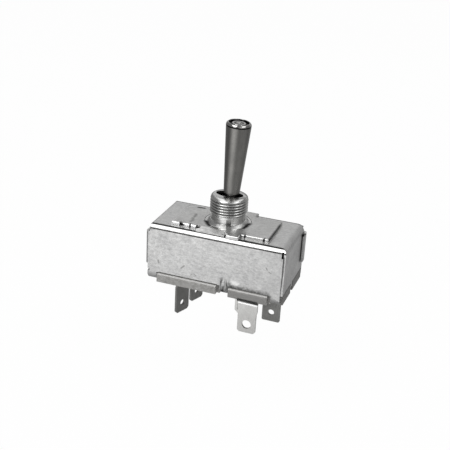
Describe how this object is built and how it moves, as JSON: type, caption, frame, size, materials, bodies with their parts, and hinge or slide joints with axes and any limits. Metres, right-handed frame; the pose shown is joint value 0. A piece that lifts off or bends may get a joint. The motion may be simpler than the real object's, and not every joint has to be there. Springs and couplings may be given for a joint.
{
  "type": "power take-off switch",
  "caption": "Three-position toggle switch in a folded steel case, with a threaded bushing, a tapered bat lever and blade terminals, for a panel.",
  "frame": {"origin": "where the mounting bushing's axis meets the top face of the case", "axes": "+Z out along the bushing, towards the lever; +X along the case's length, in the lever's throw; +Y to the case's back"},
  "size_m": [0.0496, 0.0256, 0.0691],
  "materials": {
    "zinc_steel": "bright zinc plate",
    "zinc_saddle": "bright zinc plate",
    "zinc_bushing": "turned, bright zinc plate",
    "nickel_lever": "satin turned, nickel plate",
    "steel_pin": "drawn",
    "steel_index": "blanked",
    "steel_ball": "polished",
    "spring_wire": "drawn wire",
    "phenolic_carriage": "moulded",
    "phenolic_base": "moulded",
    "tinned_brass": "tin plate",
    "copper_bridge": "coined copper",
    "silver_contact": "fine silver"
  },
  "bodies": {
    "housing": {"case": "zinc_steel", "saddle_plate": "zinc_saddle", "bushing": "zinc_bushing", "pivot_pin": "steel_pin", "index_plate": "steel_index", "base": "phenolic_base", "terminal_side_front": "tinned_brass", "terminal_side_back": "tinned_brass", "terminal_lug": "tinned_brass", "terminal_end": "tinned_brass", "contact_side_front": "silver_contact", "contact_side_back": "silver_contact", "contact_lug": "silver_contact", "contact_end": "silver_contact"},
    "bat": {"lever": "nickel_lever"},
    "slider": {"carriage": "phenolic_carriage", "bridge_left": "copper_bridge", "bridge_right": "copper_bridge", "bridge_spring_left": "spring_wire", "bridge_spring_right": "spring_wire", "detent_ball_left": "steel_ball", "detent_ball_right": "steel_ball", "detent_spring_left": "spring_wire", "detent_spring_right": "spring_wire"}
  },
  "joints": [
    {"name": "lever_throw", "type": "hinge", "parent": "housing", "child": "bat", "pos_m": [0, 0, -0.0019], "axis": [0, 1, 0], "range_deg": [-11.6, 6.4]},
    {"name": "carriage_slide", "type": "slide", "parent": "housing", "child": "slider", "axis": [1, 0, 0], "range_m": [-0.00114, 0.00204]}
  ],
  "couplings": [
    {"joint": "carriage_slide", "follows": "lever_throw", "m_per_rad": -0.01}
  ]
}
